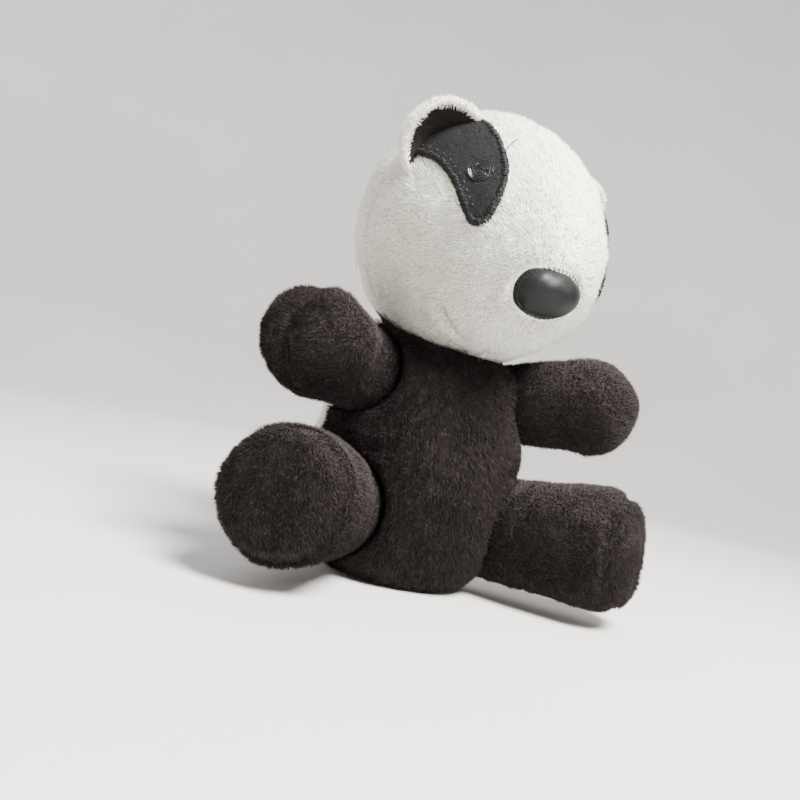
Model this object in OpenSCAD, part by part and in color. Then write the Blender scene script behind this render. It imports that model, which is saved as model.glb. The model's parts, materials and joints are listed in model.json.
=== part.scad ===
// Small stuffed plush badger with a tape loop and a split key ring.
// It sits upright on the plane z = 0 and faces -Y, so +X is its own left side.
// Every stuffed part is a thin shell of sewn panels around a solid of filling.

/* [Body] */
// Radius of the belly at its widest
belly_r = 22; // [21.5:0.25:22.5]
// Height of the widest part of the belly above the seat
belly_z = 20; // [19:0.5:21]
// Radius of the flat seat that the toy rests on
seat_r = 14; // [12:0.5:15]
// Radius of the neck
neck_r = 15.5; // [15:0.25:16]
// Thickness of the plush fabric, backing and pile together
fabric_t = 1.2; // [1:0.1:1.4]

/* [Head] */
// Radius of the round head
head_r = 25; // [24.75:0.05:25.1]
// Centre of the head: sideways, front to back, height
head_at = [1.8, -4.5, 70.5];
// Turn of the head towards its own left
head_turn = 7; // [0:1:12]
// Lean of the head towards its own left shoulder
head_lean = 10; // [0:1:12]
// Downward nod of the face
head_nod = 11.4; // [8:0.2:12]
// Radius of the muzzle bulge
muzzle_r = 19; // [18:0.5:19.5]
// Distance from the centre of the head to the centre of the muzzle
muzzle_out = 12; // [11:0.5:12.5]
// Radius of an ear
ear_r = 9.1; // [8.5:0.1:9.4]
// Twist of an ear about the direction that it stands out in
ear_twist = 13; // [10:1:20]
// Half width of the nose
nose_w = 6.5; // [6:0.1:6.6]
// Half height of the nose
nose_h = 4.8; // [4.4:0.1:4.9]

/* [Limbs] */
// Shoulder pivot of the left arm: sideways, front to back, height
shoulder_at = [14.5, -1.7, 39];
// Radius of the round root of an arm
arm_root_r = 8.2; // [8:0.1:8.3]
// Radius of the paw
paw_r = 10.3; // [9.5:0.1:10.4]
// Distance from the shoulder pivot to the centre of the paw
arm_l = 20.6; // [19:0.2:21]
// Angle of each arm from straight ahead
arm_spread = 53; // [45:1:60]
// Upward tilt of each arm
arm_lift = 9.5; // [6:0.5:10]
// Hip pivot of the left leg: sideways, front to back, height
hip_at = [17, -3.7, 13.2];
// Radius of the round root of a leg
leg_root_r = 10.5; // [10:0.1:10.6]
// Radius of the foot
foot_r = 12.5; // [12:0.1:12.7]
// Distance from the hip pivot to the end of the sole
leg_l = 33; // [31:0.5:34]
// Angle of each leg from straight ahead
leg_spread = 39; // [36:1:42]
// Upward tilt of the right leg and of the left leg
leg_lift = [6, 3.5];

/* [Key ring] */
// Radius of the hole through the split ring
ring_hole_r = 10; // [9:0.5:11]
// Radial width of the ring's wire
ring_wire_w = 2; // [1.6:0.1:2]
// Thickness of the ring's two turns together
ring_wire_t = 2.6; // [2.2:0.1:2.6]
// Width of the tape that the loop is made of
tape_w = 5; // [4:0.5:5]
// Thickness of the tape
tape_t = 0.8; // [0.6:0.1:1]

/* [Hidden] */
$fn = 128;
gap = 0.3;                 // between parts that move against each other
neck_gap = 0.8;            // between the neck and the head
root_gap = 0.6;            // between the body and the round root of a limb
ear_gap = 1.2;             // under an ear, which rocks on the head
head_travel = [-40, 25];   // turn of the head, in degrees from rest
arm_travel = [-15, 30];    // swing of an arm, outwards from rest
leg_travel = [-12, 30];    // swing of a leg
arm_reach = 16;            // how far along a limb the body leaves it room
leg_reach = 19;
body_h = 57;               // top of the body form, above the neck seam
seam_y = 2;                // plane of the body's side seams
muzzle_drop = 10;          // angle of the muzzle below straight ahead
nose_drop = 12;            // angle of the nose below straight ahead
nose_out = 29.5;           // centre of the nose from the centre of the head
nose_tilt = 16;            // its left end is sewn on higher than its right end
nose_skin_t = 0.6;
patch_t = 0.6;             // felt of an eye patch
patch_uneven = 9;          // the left patch is sewn on this much further back, in degrees
thread_t = 0.35;           // embroidery thread
patch_dir = [-55, 16];     // azimuth and elevation of the right patch's centre
eye_dir = [-43, 18];       // and of the embroidered eye on it
eye_r = 2.3;
smile_dir = [0, -33];      // centre of the arc that the mouth follows
smile_r = 12.5;
right_ear_dir = [80, 29];  // azimuth, away from the face, and elevation of the right ear
left_ear_dir = [100, 40];  // the left ear is sewn on further back and higher
ear_cup_r = 12;            // radius that the ear is cupped to
ear_back = 2;              // how far the middle of the ear lies behind its axis
ear_sunk = 2;              // and how far it lies under the head's surface
lining_t = 1;
foot_cap = 7;              // length of the rounded end of a foot
sole_r = 11.3;
loop_tilt = 18;            // elevation of the loop on the back of the head
loop_r = 2.2;              // inner radius of the loop's round end
ring_out = 28.5;           // ring pivot from the centre of the head
steps = 20;                // points along each curved profile
big = 200;

black = [0.1, 0.1, 0.105];
white = [0.9, 0.9, 0.86];
filling = [0.96, 0.96, 0.98];

// ---- placing ----

// The head's own frame: origin at its centre, face towards -Y
module in_head() {
    translate(head_at) rotate([0, 0, head_turn]) rotate([0, head_lean, 0])
        rotate([head_nod, 0, 0]) children();
}

// Turns -Y to the given azimuth, positive to the left, and elevation
module aim(azimuth, elevation) {
    rotate([0, 0, azimuth]) rotate([-elevation, 0, 0]) children();
}

// side is 1 for the toy's left and -1 for its right; place is given for the left
module on_side(side, place) {
    translate([side * place[0], place[1], place[2]]) children();
}

module in_arm(side, swing = 0) {
    on_side(side, shoulder_at) aim(side * (arm_spread + swing), arm_lift) children();
}

// swing turns a leg outwards from rest
module in_leg(side, swing = 0) {
    on_side(side, hip_at)
        aim(side * (leg_spread + swing), leg_lift[side < 0 ? 0 : 1]) children();
}

// The ear's frame: +Z out of the head, Y front to back, origin at the head's centre
module in_ear(side) {
    dir = side < 0 ? right_ear_dir : left_ear_dir;
    in_head() mirror([side < 0 ? 1 : 0, 0, 0])
        rotate([0, 0, dir[0] - 90]) rotate([0, 90 - dir[1], 0])
            rotate([0, 0, ear_twist]) children();
}

// The loop's frame stays upright: +Y straight back from the head's centre
module in_loop() {
    translate(head_at) rotate([0, 0, head_turn]) children();
}

// ---- forms ----

// Pear outline: an ellipse below the belly line, a cosine ease up to the neck
function body_r(z) = z < belly_z
    ? belly_r * sqrt(1 - (1 - pow(seat_r / belly_r, 2)) * pow((belly_z - z) / belly_z, 2))
    : neck_r + (belly_r - neck_r)
        * pow((1 + cos(180 * (z - belly_z) / (body_h - belly_z))) / 2, 0.8);

module body_form(inset = 0) {
    rotate([0, 0, 90]) rotate_extrude() polygon(concat(
        [[0, inset]],
        [for (i = [0 : steps]) let (z = inset + (body_h - inset) * i / steps)
            [body_r(z) - inset, z]],
        [[0, body_h]]));
}

// Cone around a limb. It starts inside the ball of the limb's root and widens out of it.
module limb_cone(root, end, length, reach) {
    rotate([90, 0, 0])
        cylinder(r1 = root + gap, r2 = root + (end - root) * reach / length + 2 * gap, h = reach);
}

// Room that the muzzle sweeps as the head turns
module muzzle_sweep() {
    fall = muzzle_drop + head_nod;
    for (i = [0 : 5]) let (swing = head_travel[0] + (head_travel[1] - head_travel[0]) * i / 5)
        translate(head_at) rotate([0, 0, head_turn + swing])
            translate([0, -muzzle_out * cos(fall), -muzzle_out * sin(fall)])
                rotate([0, 90, 0]) sphere(muzzle_r + gap + thread_t);
}

// Room that the body leaves for the head, the round roots of the limbs and their swing. The
// poles of the limbs' spheres are turned so that none lies on a seam of the body's surface.
module body_sockets() {
    translate(head_at) sphere(head_r + neck_gap);
    muzzle_sweep();
    for (side = [-1, 1]) {
        on_side(side, shoulder_at) rotate([0, 90, 0]) sphere(arm_root_r + root_gap);
        on_side(side, hip_at) rotate([90, 0, 0]) sphere(leg_root_r + root_gap);
        for (i = [0 : 3])
            in_arm(side, arm_travel[0] + (arm_travel[1] - arm_travel[0]) * i / 3)
                limb_cone(arm_root_r, paw_r, arm_l, arm_reach);
        for (i = [0 : 3])
            in_leg(side, leg_travel[0] + (leg_travel[1] - leg_travel[0]) * i / 3)
                limb_cone(leg_root_r, foot_r, leg_l - foot_cap, leg_reach);
    }
}

module head_form(grow = 0) {
    sphere(head_r + grow);
    aim(0, -muzzle_drop) translate([0, -muzzle_out, 0]) sphere(muzzle_r + grow);
}

// Half profile of a limb: a round root and a straight side up to the start of its end
function root_profile(r1, r2, length) = let (touch = acos((r1 - r2) / length))
    [for (i = [0 : steps]) let (a = 180 - (180 - touch) * i / steps)
        [r1 * sin(a), r1 * cos(a)]];

module arm_form(inset = 0) {
    root = arm_root_r - inset;
    paw = paw_r - inset;
    touch = acos((root - paw) / arm_l);
    rotate([90, 0, 0]) rotate_extrude() polygon(concat(
        root_profile(root, paw, arm_l),
        [for (i = [0 : steps]) let (a = touch * (1 - i / steps))
            [paw * sin(a), arm_l + paw * cos(a)]]));
}

module leg_form(inset = 0) {
    root = leg_root_r - inset;
    foot = foot_r - inset;
    cap_start = leg_l - foot_cap;
    rotate([90, 0, 0]) rotate_extrude() polygon(concat(
        root_profile(root, foot, cap_start),
        [for (i = [0 : steps]) let (a = 90 * (1 - i / steps))
            [foot * sqrt(sin(a)), cap_start + (foot_cap - inset) * pow(cos(a), 0.9)]]));
}

module front_of(y) {
    translate([-big / 2, y - big, -big / 2]) cube(big);
}

// Everything on one side of the plane through a limb's axis
module side_of(side) {
    translate([side > 0 ? 0 : -big, -big / 2, -big / 2]) cube(big);
}

// ---- body ----

module body_shell() {
    difference() {
        body_form();
        body_form(fabric_t);
        body_sockets();
    }
}

// Sliver of the front panel between the neck and the left shoulder, where it would come loose
module shoulder_notch() {
    translate([shoulder_at[0] + 1.5, shoulder_at[1] + 0.4, shoulder_at[2]])
        cylinder(r = arm_root_r / 2 + 0.4, h = arm_root_r * 2);
}

module body_front_panel() {
    color(black) difference() {
        intersection() {
            body_shell();
            front_of(seam_y);
        }
        shoulder_notch();
    }
}

module body_back_panel() {
    color(white) difference() {
        body_shell();
        front_of(seam_y);
    }
}

module body_stuffing() {
    color(filling) difference() {
        body_form(fabric_t);
        body_sockets();
    }
}

// ---- head ----

module head_shell() {
    difference() {
        head_form();
        head_form(-fabric_t);
    }
}

module head_face_panel() {
    color(white) in_head() intersection() {
        head_shell();
        front_of(0);
    }
}

module head_back_panel() {
    color(white) in_head() difference() {
        head_shell();
        front_of(0);
    }
}

module head_stuffing() {
    color(filling) in_head() head_form(-fabric_t);
}

// One layer of a cupped ear between two radii, cut to a disc and clear of the head
module ear_layer(side, outer_r, inner_r, disc_r) {
    in_ear(side) difference() {
        translate([0, ear_back - ear_cup_r, head_r - ear_sunk]) intersection() {
            difference() {
                sphere(outer_r);
                sphere(inner_r);
            }
            rotate([-90, 0, 0]) cylinder(r = disc_r, h = big);
        }
        sphere(head_r + ear_gap);
    }
}

module ear_outer(side) {
    color(white) ear_layer(side, ear_cup_r, ear_cup_r - fabric_t, ear_r);
}

module ear_lining(side) {
    color(black) ear_layer(side, ear_cup_r - fabric_t, ear_cup_r - fabric_t - lining_t,
                           ear_r - fabric_t);
}

// Outline of the right patch seen square on: tip low towards the nose, wide end at the ear
patch_points = [[-12.6, 0.6], [-8, 0.4], [-3, -0.5], [1.5, -2.9], [5.4, -6.2], [9, -8.8],
                [11.4, -7.5], [11.7, -4.2], [10.6, 0.6], [8.2, 4.9], [3.6, 9.6], [-1.5, 12.5],
                [-6, 12.5], [-11, 6]];

function spline(p0, p1, p2, p3, t) = 0.5 * (2 * p1 + (p2 - p0) * t
    + (2 * p0 - 5 * p1 + 4 * p2 - p3) * t * t + (3 * p1 - p0 - 3 * p2 + p3) * t * t * t);

function smooth_loop(p, n = 4) = let (m = len(p))
    [for (i = [0 : m - 1], j = [0 : n - 1])
        spline(p[(i + m - 1) % m], p[i], p[(i + 1) % m], p[(i + 2) % m], j / n)];

// A layer of the given thickness on the head's surface, starting above another
module on_head(from, thickness) {
    difference() {
        intersection() {
            head_form(from + thickness);
            children();
        }
        head_form(from);
    }
}

function uneven(side) = side > 0 ? patch_uneven : 0;

module eye_patch(side) {
    color(black) in_head() mirror([side > 0 ? 1 : 0, 0, 0]) on_head(0, patch_t)
        aim(patch_dir[0] - uneven(side), patch_dir[1]) rotate([90, 0, 0])
            linear_extrude(big / 4) polygon(smooth_loop(patch_points));
}

module eye_embroidery(side) {
    color([0.16, 0.13, 0.11]) in_head() mirror([side > 0 ? 1 : 0, 0, 0])
        on_head(patch_t, thread_t)
            aim(eye_dir[0] - uneven(side), eye_dir[1]) rotate([90, 0, 0])
                cylinder(r = eye_r, h = big / 4);
}

// Egg lying across the muzzle: an ellipse turned about its long axis
module nose_form(inset = 0) {
    aim(0, -nose_drop) translate([0, -nose_out, 0]) rotate([0, 90 - nose_tilt, 0]) rotate_extrude()
        polygon([for (i = [0 : steps]) let (a = 180 * i / steps)
            [(nose_h - inset) * sin(a), (nose_w - inset) * cos(a)]]);
}

module nose_cover() {
    color([0.05, 0.05, 0.055]) in_head() difference() {
        nose_form();
        nose_form(nose_skin_t);
        head_form();
    }
}

module nose_stuffing() {
    color(filling) in_head() difference() {
        nose_form(nose_skin_t);
        head_form();
    }
}

module mouth_stitching() {
    color([0.3, 0.28, 0.25]) in_head() on_head(0, thread_t)
        aim(smile_dir[0], smile_dir[1]) rotate([90, 0, 0]) intersection() {
            difference() {
                cylinder(r = smile_r + thread_t, h = big / 4);
                cylinder(r = smile_r - thread_t, h = big / 4);
            }
            translate([-big / 2, -big - smile_r / 4, 0]) cube(big);
        }
}

// ---- limbs ----

module arm_panel(side, half) {
    color(black) in_arm(side) intersection() {
        difference() {
            arm_form();
            arm_form(fabric_t);
        }
        side_of(side * half);
    }
}

module arm_stuffing(side) {
    color(filling) in_arm(side) arm_form(fabric_t);
}

module leg_shell() {
    difference() {
        leg_form();
        leg_form(fabric_t);
    }
}

// Column along the leg that holds the sole panel
module sole_column() {
    translate([0, foot_cap - leg_l, 0]) rotate([90, 0, 0]) cylinder(r = sole_r, h = big);
}

module leg_tube(side) {
    color(black) in_leg(side) difference() {
        leg_shell();
        sole_column();
    }
}

module sole_panel(side) {
    color([0.13, 0.13, 0.135]) in_leg(side) intersection() {
        leg_shell();
        sole_column();
    }
}

module leg_stuffing(side) {
    color(filling) in_leg(side) leg_form(fabric_t);
}

// ---- key ring ----

// Folded tape, seen from its edge: two plies from the head's seam to a round end
module tape_outline(r) {
    circle(r);
    translate([-big / 20, -r]) square([big / 20, 2 * r]);
}

module tape_loop() {
    color([0.08, 0.08, 0.09]) difference() {
        in_loop() translate([-tape_w / 2, ring_out, head_r * sin(loop_tilt)])
            rotate([90, 0, 90]) linear_extrude(tape_w) difference() {
                tape_outline(loop_r + tape_t);
                tape_outline(loop_r);
            }
        in_head() sphere(head_r);
    }
}

module split_ring() {
    mid_r = ring_hole_r + ring_wire_w / 2;
    outer_r = ring_hole_r + ring_wire_w;
    half_t = ring_wire_t / 2;
    groove = 0.25;
    color([0.75, 0.76, 0.78]) in_loop()
        translate([0, ring_out, head_r * sin(loop_tilt) - mid_r]) rotate([90, 0, 0])
            rotate_extrude($fn = 96) polygon([
                [ring_hole_r, -half_t], [outer_r - groove, -half_t],
                [outer_r, groove - half_t], [outer_r, -groove], [outer_r - groove, 0],
                [outer_r, groove], [outer_r, half_t - groove],
                [outer_r - groove, half_t], [ring_hole_r, half_t]]);
}

body_front_panel();
body_back_panel();
body_stuffing();
head_face_panel();
head_back_panel();
head_stuffing();
ear_outer(-1);  // right_ear_outer
ear_outer(1);  // left_ear_outer
ear_lining(-1);  // right_ear_lining
ear_lining(1);  // left_ear_lining
eye_patch(-1);  // right_eye_patch
eye_patch(1);  // left_eye_patch
eye_embroidery(-1);  // right_eye_embroidery
eye_embroidery(1);  // left_eye_embroidery
nose_cover();
nose_stuffing();
mouth_stitching();
arm_panel(-1, -1);  // right_arm_front_panel
arm_panel(1, -1);  // left_arm_front_panel
arm_panel(-1, 1);  // right_arm_back_panel
arm_panel(1, 1);  // left_arm_back_panel
arm_stuffing(-1);  // right_arm_stuffing
arm_stuffing(1);  // left_arm_stuffing
leg_tube(-1);  // right_leg_tube
leg_tube(1);  // left_leg_tube
sole_panel(-1);  // right_sole_panel
sole_panel(1);  // left_sole_panel
leg_stuffing(-1);  // right_leg_stuffing
leg_stuffing(1);  // left_leg_stuffing
tape_loop();
split_ring();
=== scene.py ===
"""Looks of a small stuffed toy animal: plush panels with real pile, felt eye patches, an embroidered
eye, a leatherette nose, a woven loop and a split key ring. Lengths are millimetres until place()."""

import json
import math

import bmesh
import bpy
import numpy as np
from mathutils import Matrix, Vector


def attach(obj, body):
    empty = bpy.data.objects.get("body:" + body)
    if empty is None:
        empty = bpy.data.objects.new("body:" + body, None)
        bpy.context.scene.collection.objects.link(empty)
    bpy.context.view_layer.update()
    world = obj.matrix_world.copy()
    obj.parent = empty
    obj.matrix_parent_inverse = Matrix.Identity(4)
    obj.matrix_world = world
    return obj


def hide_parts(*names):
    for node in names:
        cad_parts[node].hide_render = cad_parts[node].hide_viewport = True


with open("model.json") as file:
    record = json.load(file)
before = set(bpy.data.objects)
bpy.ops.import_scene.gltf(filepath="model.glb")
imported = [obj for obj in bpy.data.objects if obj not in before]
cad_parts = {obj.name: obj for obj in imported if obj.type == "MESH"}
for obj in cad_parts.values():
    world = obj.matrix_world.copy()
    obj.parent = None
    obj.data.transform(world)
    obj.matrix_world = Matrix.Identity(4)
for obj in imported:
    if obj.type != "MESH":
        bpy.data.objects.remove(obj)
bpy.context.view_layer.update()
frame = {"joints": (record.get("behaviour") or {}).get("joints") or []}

MM = 0.001
joint_at = {j["name"]: np.array(j["pos_m"]) / MM for j in frame["joints"]}

# Driving sizes, as in the CAD model
HEAD_R, MUZZLE_R, MUZZLE_OUT, MUZZLE_DROP = 25, 19, 12, 10
HEAD_TURN, HEAD_LEAN, HEAD_NOD = 7, 10, 11.4
BELLY_R, BELLY_Z, SEAT_R, NECK_R, BODY_H, BODY_SEAM_Y = 22, 20, 14, 15.5, 57, 2
ARM_ROOT_R, PAW_R, ARM_L, ARM_SPREAD, ARM_LIFT = 8.2, 10.3, 20.6, 53, 9.5
LEG_ROOT_R, FOOT_R, LEG_L, FOOT_CAP, SOLE_R, LEG_SPREAD = 10.5, 12.5, 33, 7, 11.3, 39
LEG_LIFT = {"right": 6, "left": 3.5}
NOSE_W, NOSE_H, NOSE_OUT, NOSE_DROP, NOSE_TILT = 6.5, 4.8, 29.5, 12, 16
EAR_R, EAR_CUP_R, EAR_BACK, EAR_SUNK, EAR_TWIST = 9.1, 12, 2, 2, 13
EAR_DIR = {"right": (80, 29), "left": (100, 40)}
PATCH_DIR, EYE_DIR, EYE_R, PATCH_UNEVEN = (-55, 16), (-43, 18), 2.3, 9
RING_HOLE_R, RING_W, RING_T, RING_OUT, LOOP_TILT = 10, 2, 2.6, 28.5, 18
TAPE_W, TAPE_T, LOOP_R = 5, 0.8, 2.2
ROOT_GAP, NECK_GAP = 0.6, 0.8
HEAD_TRAVEL, ARM_TRAVEL, LEG_TRAVEL = (-40, 25), (-15, 30), (-12, 30)
SIDES = {"right": -1, "left": 1}

PILE_DEPTH = 0.75  # from the pile's tips, where the CAD surface is, down to the backing
CELL = 0.6  # size of the cells of a fabric mesh

# Pile: fibres on a square millimetre, their length and their width at the root
HEAD_PILE, BODY_PILE, LIMB_PILE = (11, 1.25, 0.26), (15, 1.1, 0.22), (16, 1.05, 0.21)
EAR_PILE, LINING_PILE, FELT_LINT = (14, 0.9, 0.22), (14, 0.5, 0.2), (2.2, 0.8, 0.09)


# ---- vectors and noise ----


def turn(axis, degrees):
    return np.array(Matrix.Rotation(math.radians(degrees), 3, axis))


def aim(azimuth, elevation):
    """Turns -Y to an azimuth, positive to the toy's left, and an elevation."""
    return turn("Z", azimuth) @ turn("X", -elevation)


def pointing(azimuth, elevation):
    return aim(azimuth, elevation) @ np.array([0.0, -1.0, 0.0])


def unit(v):
    return v / np.maximum(np.linalg.norm(v, axis=-1, keepdims=True), 1e-9)


def waves(points, size, seed, count=12):
    """Smooth noise of about -1 to 1 whose lumps are about half the given size."""
    rng = np.random.default_rng(seed)
    k = unit(rng.normal(size=(count, 3))) * (2 * np.pi / size * rng.uniform(0.7, 1.4, (count, 1)))
    return np.sin(points @ k.T + rng.uniform(0, 2 * np.pi, count)).sum(1) / math.sqrt(2 * count)


def bump(distance, width):
    return np.exp(-((distance / width) ** 2))


def near(points, path):
    """Distance from each point to a path of straight pieces, and where along it, from 0 to 1."""
    path = np.asarray(path, float)
    best, where = np.full(len(points), 1e9), np.zeros(len(points))
    for i in range(len(path) - 1):
        step = path[i + 1] - path[i]
        t = np.clip((points - path[i]) @ step / (step @ step), 0, 1)
        d = np.linalg.norm(points - path[i] - t[:, None] * step, axis=1)
        closer = d < best
        best[closer], where[closer] = d[closer], ((i + t) / (len(path) - 1))[closer]
    return best, where


# ---- meshes ----


def mesh_piece(name, points, faces, smooth=True):
    mesh = bpy.data.meshes.new(name)
    mesh.from_pydata([tuple(p) for p in points], [], faces)
    mesh.polygons.foreach_set("use_smooth", [smooth] * len(mesh.polygons))
    piece = bpy.data.objects.new(name, mesh)
    bpy.context.scene.collection.objects.link(piece)
    return piece


def evenly(profile, cell=CELL):
    """The same profile with points about one cell apart."""
    profile = np.asarray(profile, float)
    run = np.concatenate([[0], np.cumsum(np.linalg.norm(np.diff(profile, axis=0), axis=1))])
    at = np.linspace(0, run[-1], max(int(run[-1] / cell), 8))
    return np.stack([np.interp(at, run, profile[:, i]) for i in (0, 1)], 1)


def ball_faces(rows, around):
    """Faces of a surface closed by one point at each end, with rows of points between them."""
    last = 1 + rows * around
    faces = [(0, 1 + (j + 1) % around, 1 + j) for j in range(around)]
    for low in range(1, last - around, around):
        faces += [(low + j, low + (j + 1) % around, low + around + (j + 1) % around, low + around + j)
                  for j in range(around)]
    low = last - around
    faces += [(low + j, low + (j + 1) % around, last) for j in range(around)]
    return faces


def bar_faces(rows, around):
    """Faces of a bar with flat ends: rows of points around it, one behind the other."""
    faces = []
    for low in range(0, (rows - 1) * around, around):
        faces += [(low + j, low + (j + 1) % around, low + around + (j + 1) % around, low + around + j)
                  for j in range(around)]
    last = (rows - 1) * around
    return faces + [tuple(reversed(range(around))), tuple(last + j for j in range(around))]


def lathe(profile, around):
    """Closed surface of (radius, height) points turned about +Z. Both ends lie on the axis."""
    a = np.arange(around) * 2 * np.pi / around
    rings = [[r * np.cos(a), r * np.sin(a), np.full(around, z)] for r, z in profile[1:-1]]
    points = np.concatenate([[[0, 0, profile[0][1]]],
                             *[np.transpose(ring) for ring in rings],
                             [[0, 0, profile[-1][1]]]])
    return points, ball_faces(len(rings), around)


def cut(piece, at, away):
    """Removes what lies on the side of a plane that away points to, and closes the cut."""
    bm = bmesh.new()
    bm.from_mesh(piece.data)
    geometry = bm.verts[:] + bm.edges[:] + bm.faces[:]
    bmesh.ops.bisect_plane(bm, geom=geometry, plane_co=at, plane_no=away, clear_outer=True)
    bmesh.ops.holes_fill(bm, edges=[e for e in bm.edges if e.is_boundary], sides=0)
    for face in bm.faces:
        face.smooth = len(face.verts) <= 4
    bm.to_mesh(piece.data)
    bm.free()
    return piece


def face_outwards(piece):
    """Turns every face of a closed piece outwards."""
    bm = bmesh.new()
    bm.from_mesh(piece.data)
    bmesh.ops.recalc_face_normals(bm, faces=bm.faces)
    bm.to_mesh(piece.data)
    bm.free()


def tube(path, radius, sides=6):
    """Points and faces of a round thread with tapered ends."""
    path = np.asarray(path, float)
    count = len(path)
    along = unit(np.gradient(path, axis=0))
    side = unit(np.cross(along, along[0] * 0.3 + np.array([0.31, 0.52, 0.79])))
    other = np.cross(along, side)
    a = np.arange(sides) * 2 * np.pi / sides
    taper = np.ones(count)
    taper[0] = taper[-1] = 0.35
    r = (np.broadcast_to(radius, count) * taper)[:, None, None]
    ring = np.cos(a)[None, :, None] * side[:, None] + np.sin(a)[None, :, None] * other[:, None]
    points = (path[:, None] + r * ring).reshape(-1, 3)
    faces = [(i * sides + j, (i + 1) * sides + j, (i + 1) * sides + (j + 1) % sides,
              i * sides + (j + 1) % sides) for i in range(count - 1) for j in range(sides)]
    faces.append(tuple(range(sides)))
    faces.append(tuple((count - 1) * sides + j for j in reversed(range(sides))))
    return points, faces


def threads(name, paths, radius, sides=6):
    """One piece of many short threads."""
    points, faces, start = [], [], 0
    for path in paths:
        p, f = tube(path, radius, sides)
        points.append(p)
        faces += [tuple(i + start for i in face) for face in f]
        start += len(p)
    return mesh_piece(name, np.concatenate(points), faces)


def place(piece, spin, at):
    """From a part's own frame in millimetres to its place on the toy in metres."""
    piece.data.transform(Matrix.Scale(MM, 4) @ Matrix.Translation(Vector(at)) @ Matrix(spin).to_4x4())
    if np.linalg.det(spin) < 0:
        piece.data.flip_normals()


# ---- pile ----


def pile(name, skin, density, length, width, nap, keep=None, seed=1, lean=0.75, ruffle=0.4):
    """Tapered plush fibres on a skin: nap gives the way that they lean, and keep, where they grow."""
    rng = np.random.default_rng(seed)
    mesh = skin.data
    mesh.calc_loop_triangles()
    count = len(mesh.vertices)
    co, normals = np.empty(count * 3), np.empty(count * 3)
    mesh.vertices.foreach_get("co", co)
    mesh.vertex_normals.foreach_get("vector", normals)
    co, normals = co.reshape(-1, 3), normals.reshape(-1, 3)
    inner = {p.index for p in mesh.polygons if p.loop_total > 4}
    tris = np.array([t.vertices[:] for t in mesh.loop_triangles if t.polygon_index not in inner])
    a, b, c = co[tris[:, 0]], co[tris[:, 1]], co[tris[:, 2]]
    area = np.linalg.norm(np.cross(b - a, c - a), axis=1) / 2
    pick = rng.choice(len(tris), int(area.sum() * density), p=area / area.sum())
    u, v = rng.random((2, len(pick), 1))
    u, v = np.where(u + v > 1, 1 - u, u), np.where(u + v > 1, 1 - v, v)
    root = a[pick] * (1 - u - v) + b[pick] * u + c[pick] * v
    n0, n1, n2 = (normals[tris[pick, i]] for i in range(3))
    normal = unit(n0 * (1 - u - v) + n1 * u + n2 * v)
    if keep is not None:
        kept = keep(root)
        root, normal = root[kept], normal[kept]
    flow = nap(root)
    flow = unit(flow - normal * (flow * normal).sum(1, keepdims=True))
    clump = np.stack([waves(root, 2.6, seed + i) for i in range(3)], 1)
    stray = rng.normal(size=root.shape) * 0.2
    way = unit(normal + flow * lean + clump * ruffle + stray)
    long = length * rng.uniform(0.7, 1.15, (len(root), 1)) * (1 + 0.12 * waves(root, 7, seed + 5))[:, None]
    side = unit(np.cross(way, rng.normal(size=root.shape)))
    other = np.cross(way, side)
    w = width / 2 * rng.uniform(0.7, 1.2, (len(root), 1))
    corners = [root - normal * 0.15 + w * (math.cos(k) * side + math.sin(k) * other)
               for k in (0, 2 * math.pi / 3, 4 * math.pi / 3)]
    tip = root + way * long + flow * long * 0.15
    fibres = np.stack([*corners, tip], 1)
    total = len(root)
    made = bpy.data.meshes.new(name)
    made.vertices.add(total * 4)
    made.vertices.foreach_set("co", fibres.ravel())
    order = np.array([0, 2, 1, 0, 1, 3, 1, 2, 3, 2, 0, 3])
    made.loops.add(total * 12)
    made.loops.foreach_set("vertex_index", (np.arange(total)[:, None] * 4 + order).ravel())
    made.polygons.add(total * 4)
    made.polygons.foreach_set("loop_start", np.arange(total * 4) * 3)
    shade = rng.choice(3, total, p=[0.5, 0.3, 0.2])
    made.polygons.foreach_set("material_index", np.repeat(shade, 4))
    made.polygons.foreach_set("use_smooth", np.ones(total * 4, bool))
    made.update(calc_edges=True)
    piece = bpy.data.objects.new(name, made)
    bpy.context.scene.collection.objects.link(piece)
    return piece


# ---- materials ----


def shader(name, roughness, gloss=0.5, **sockets):
    material = bpy.data.materials.new(name)
    material.use_nodes = True
    bsdf = material.node_tree.nodes["Principled BSDF"]
    bsdf.inputs["Roughness"].default_value = roughness
    bsdf.inputs["Specular IOR Level"].default_value = gloss
    for socket, value in sockets.items():
        bsdf.inputs[socket.replace("_", " ").title()].default_value = value
    return material, bsdf


def grain(material, size_mm, kind="ShaderNodeTexNoise", detail=4):
    """A texture node in the piece's own space, whose features are about size_mm across."""
    nodes, links = material.node_tree.nodes, material.node_tree.links
    where = nodes.new("ShaderNodeTexCoord")
    texture = nodes.new(kind)
    texture.inputs["Scale"].default_value = 1 / (size_mm * MM)
    if "Detail" in texture.inputs:
        texture.inputs["Detail"].default_value = detail
    links.new(where.outputs["Object"], texture.inputs["Vector"])
    return texture.outputs["Distance" if kind == "ShaderNodeTexVoronoi" else "Fac"]


def ramp(material, value, stops):
    """Colours along a value from 0 to 1."""
    node = material.node_tree.nodes.new("ShaderNodeValToRGB")
    elements = node.color_ramp.elements
    while len(elements) < len(stops):
        elements.new(0.5)
    for element, (at, colour) in zip(elements, stops):
        element.position, element.color = at, (*colour, 1)
    material.node_tree.links.new(value, node.inputs["Fac"])
    return node.outputs["Color"]


def remap(material, value, low, high):
    node = material.node_tree.nodes.new("ShaderNodeMapRange")
    node.inputs["To Min"].default_value, node.inputs["To Max"].default_value = low, high
    material.node_tree.links.new(value, node.inputs["Value"])
    return node.outputs["Result"]


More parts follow.
